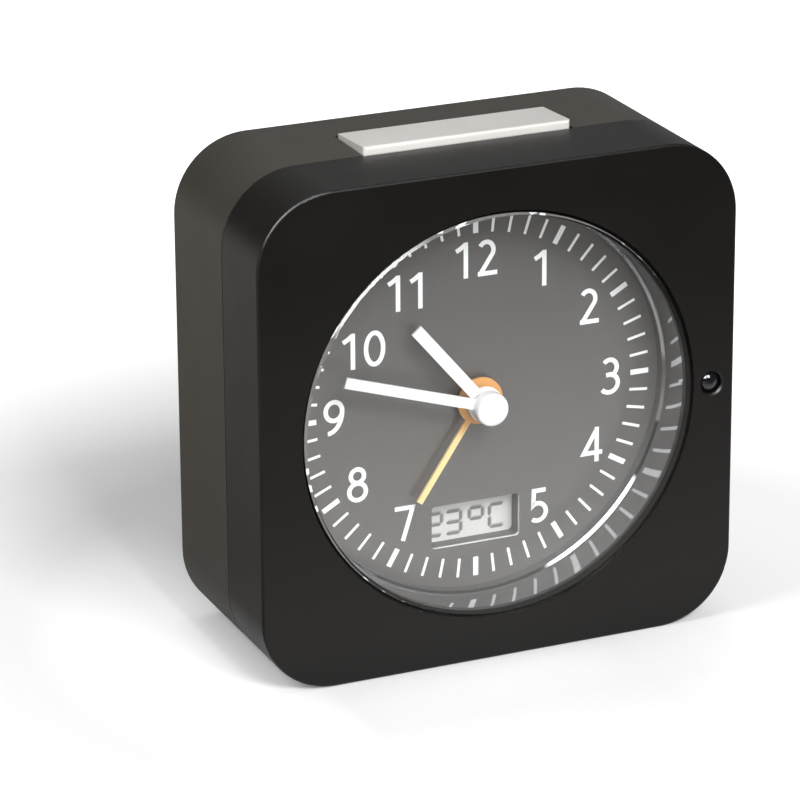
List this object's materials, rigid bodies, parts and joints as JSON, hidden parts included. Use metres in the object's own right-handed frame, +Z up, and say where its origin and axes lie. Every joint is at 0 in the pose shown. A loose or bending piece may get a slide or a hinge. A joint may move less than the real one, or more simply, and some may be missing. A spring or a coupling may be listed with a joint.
{
  "type": "radio-controlled alarm clock",
  "caption": "Square bedside alarm clock with a round analogue dial, a small temperature display, a light bar on top and its controls on the back.",
  "frame": {"origin": "middle of the flat underside, halfway between the front face and the back face", "axes": "+Z up, -Y out of the dial towards the viewer, +X to the right seen from the front"},
  "size_m": [0.09, 0.0416, 0.0913],
  "materials": {
    "frame_black": "fine satin",
    "housing_brown": "fine matt",
    "lens_clear": "polished",
    "mirror_finish": "mirror",
    "dial_grey": "matt print",
    "carrier_white": "moulded",
    "screw_steel": "zinc plated",
    "display_glass": "polished",
    "connector_rubber": "matt",
    "board_green": "solder mask",
    "chip_black": "moulded",
    "lamp_white": "moulded",
    "cable_white": "smooth",
    "sensor_black": "polished",
    "bar_white": "frosted",
    "key_grey": "moulded",
    "can_metal": "tin plated",
    "ferrite_black": "ground",
    "copper_wire": "enamelled",
    "buzzer_brass": "satin",
    "holder_black": "moulded",
    "contact_nickel": "nickel plated",
    "case_black": "moulded",
    "plate_grey": "moulded",
    "stator_steel": "rolled",
    "magnet_black": "sintered",
    "wheel_white": "moulded",
    "wheel_amber": "moulded",
    "hand_white": "satin paint",
    "hand_orange": "satin paint",
    "cap_white": "polished"
  },
  "bodies": {
    "clock_case": {"front_frame": "frame_black", "rear_housing": "housing_brown", "lens": "lens_clear", "mirror_ring": "mirror_finish", "dial": "dial_grey", "dial_carrier": "carrier_white", "carrier_screws": "screw_steel", "lcd_glass": "display_glass", "zebra_strip": "connector_rubber", "lcd_board": "board_green", "lcd_chip": "chip_black", "lcd_led": "lamp_white", "ribbon_cable": "cable_white", "light_sensor": "sensor_black", "snooze_board": "board_green", "snooze_switch": "key_grey", "housing_screws": "screw_steel", "main_board": "board_green", "board_screws": "screw_steel", "radio_chip": "chip_black", "crystals": "can_metal", "key_switches": "key_grey", "switch_body": "can_metal", "ferrite_rod": "ferrite_black", "aerial_winding": "copper_wire", "buzzer": "buzzer_brass", "battery_holder": "holder_black", "spring_contact": "contact_nickel", "plate_contact": "contact_nickel", "movement_front": "case_black", "movement_back": "case_black", "centre_plate": "plate_grey", "movement_screws": "screw_steel", "stator": "stator_steel", "coil": "copper_wire"},
    "minute_body": {"minute_hand": "hand_white", "hand_cap": "cap_white", "centre_wheel": "wheel_amber"},
    "idler_body": {"minute_idler": "wheel_white"},
    "hour_body": {"hour_hand": "hand_white", "hour_wheel": "wheel_white"},
    "intermediate_body": {"intermediate_wheel": "wheel_white"},
    "rotor_body": {"rotor": "magnet_black"},
    "alarm_body": {"alarm_hand": "hand_orange", "alarm_wheel": "wheel_white"},
    "knob_body": {"alarm_set_knob": "frame_black", "alarm_set_wheel": "wheel_white"},
    "bar_body": {"snooze_bar": "bar_white"},
    "left_button_body": {"button_left": "frame_black"},
    "middle_button_body": {"button_middle": "frame_black"},
    "right_button_body": {"button_right": "frame_black"},
    "switch_body_sliding": {"alarm_switch": "frame_black", "switch_lever": "chip_black"},
    "door_body": {"battery_door": "housing_brown"}
  },
  "joints": [
    {"name": "minute_turn", "type": "hinge", "parent": "clock_case", "child": "minute_body", "pos_m": [0, 0, 0.045], "axis": [0, 1, 0], "continuous": true},
    {"name": "idler_turn", "type": "hinge", "parent": "clock_case", "child": "idler_body", "pos_m": [0.01, 0, 0.045], "axis": [0, 1, 0], "continuous": true},
    {"name": "hour_turn", "type": "hinge", "parent": "clock_case", "child": "hour_body", "pos_m": [0, 0, 0.045], "axis": [0, 1, 0], "continuous": true},
    {"name": "intermediate_turn", "type": "hinge", "parent": "clock_case", "child": "intermediate_body", "pos_m": [0, 0, 0.059], "axis": [0, 1, 0], "continuous": true},
    {"name": "rotor_turn", "type": "hinge", "parent": "clock_case", "child": "rotor_body", "pos_m": [0.012, 0, 0.059], "axis": [0, 1, 0], "continuous": true},
    {"name": "knob_turn", "type": "hinge", "parent": "clock_case", "child": "knob_body", "pos_m": [-0.014, 0, 0.045], "axis": [0, 1, 0], "continuous": true},
    {"name": "alarm_turn", "type": "hinge", "parent": "clock_case", "child": "alarm_body", "pos_m": [0, 0, 0.045], "axis": [0, 1, 0], "continuous": true},
    {"name": "bar_press", "type": "slide", "parent": "clock_case", "child": "bar_body", "axis": [0, 0, -1], "range_m": [0, 0.0009], "stiffness_N_per_m": 800, "springref_m": -0.0006},
    {"name": "left_button_press", "type": "slide", "parent": "clock_case", "child": "left_button_body", "axis": [0, -1, 0], "range_m": [0, 0.0006], "stiffness_N_per_m": 800, "springref_m": -0.0006},
    {"name": "middle_button_press", "type": "slide", "parent": "clock_case", "child": "middle_button_body", "axis": [0, -1, 0], "range_m": [0, 0.0006], "stiffness_N_per_m": 800, "springref_m": -0.0006},
    {"name": "right_button_press", "type": "slide", "parent": "clock_case", "child": "right_button_body", "axis": [0, -1, 0], "range_m": [0, 0.0006], "stiffness_N_per_m": 800, "springref_m": -0.0006},
    {"name": "alarm_switch_slide", "type": "slide", "parent": "clock_case", "child": "switch_body_sliding", "axis": [1, 0, 0], "range_m": [0, 0.004]},
    {"name": "battery_door_slide", "type": "slide", "parent": "clock_case", "child": "door_body", "axis": [0, 0, -1], "range_m": [0, 0.026]}
  ],
  "couplings": [
    {"joint": "idler_turn", "follows": "minute_turn", "ratio": -0.33333},
    {"joint": "hour_turn", "follows": "minute_turn", "ratio": 0.083333},
    {"joint": "intermediate_turn", "follows": "minute_turn", "ratio": -6},
    {"joint": "rotor_turn", "follows": "minute_turn", "ratio": 30},
    {"joint": "alarm_turn", "follows": "knob_turn", "ratio": -0.75}
  ]
}
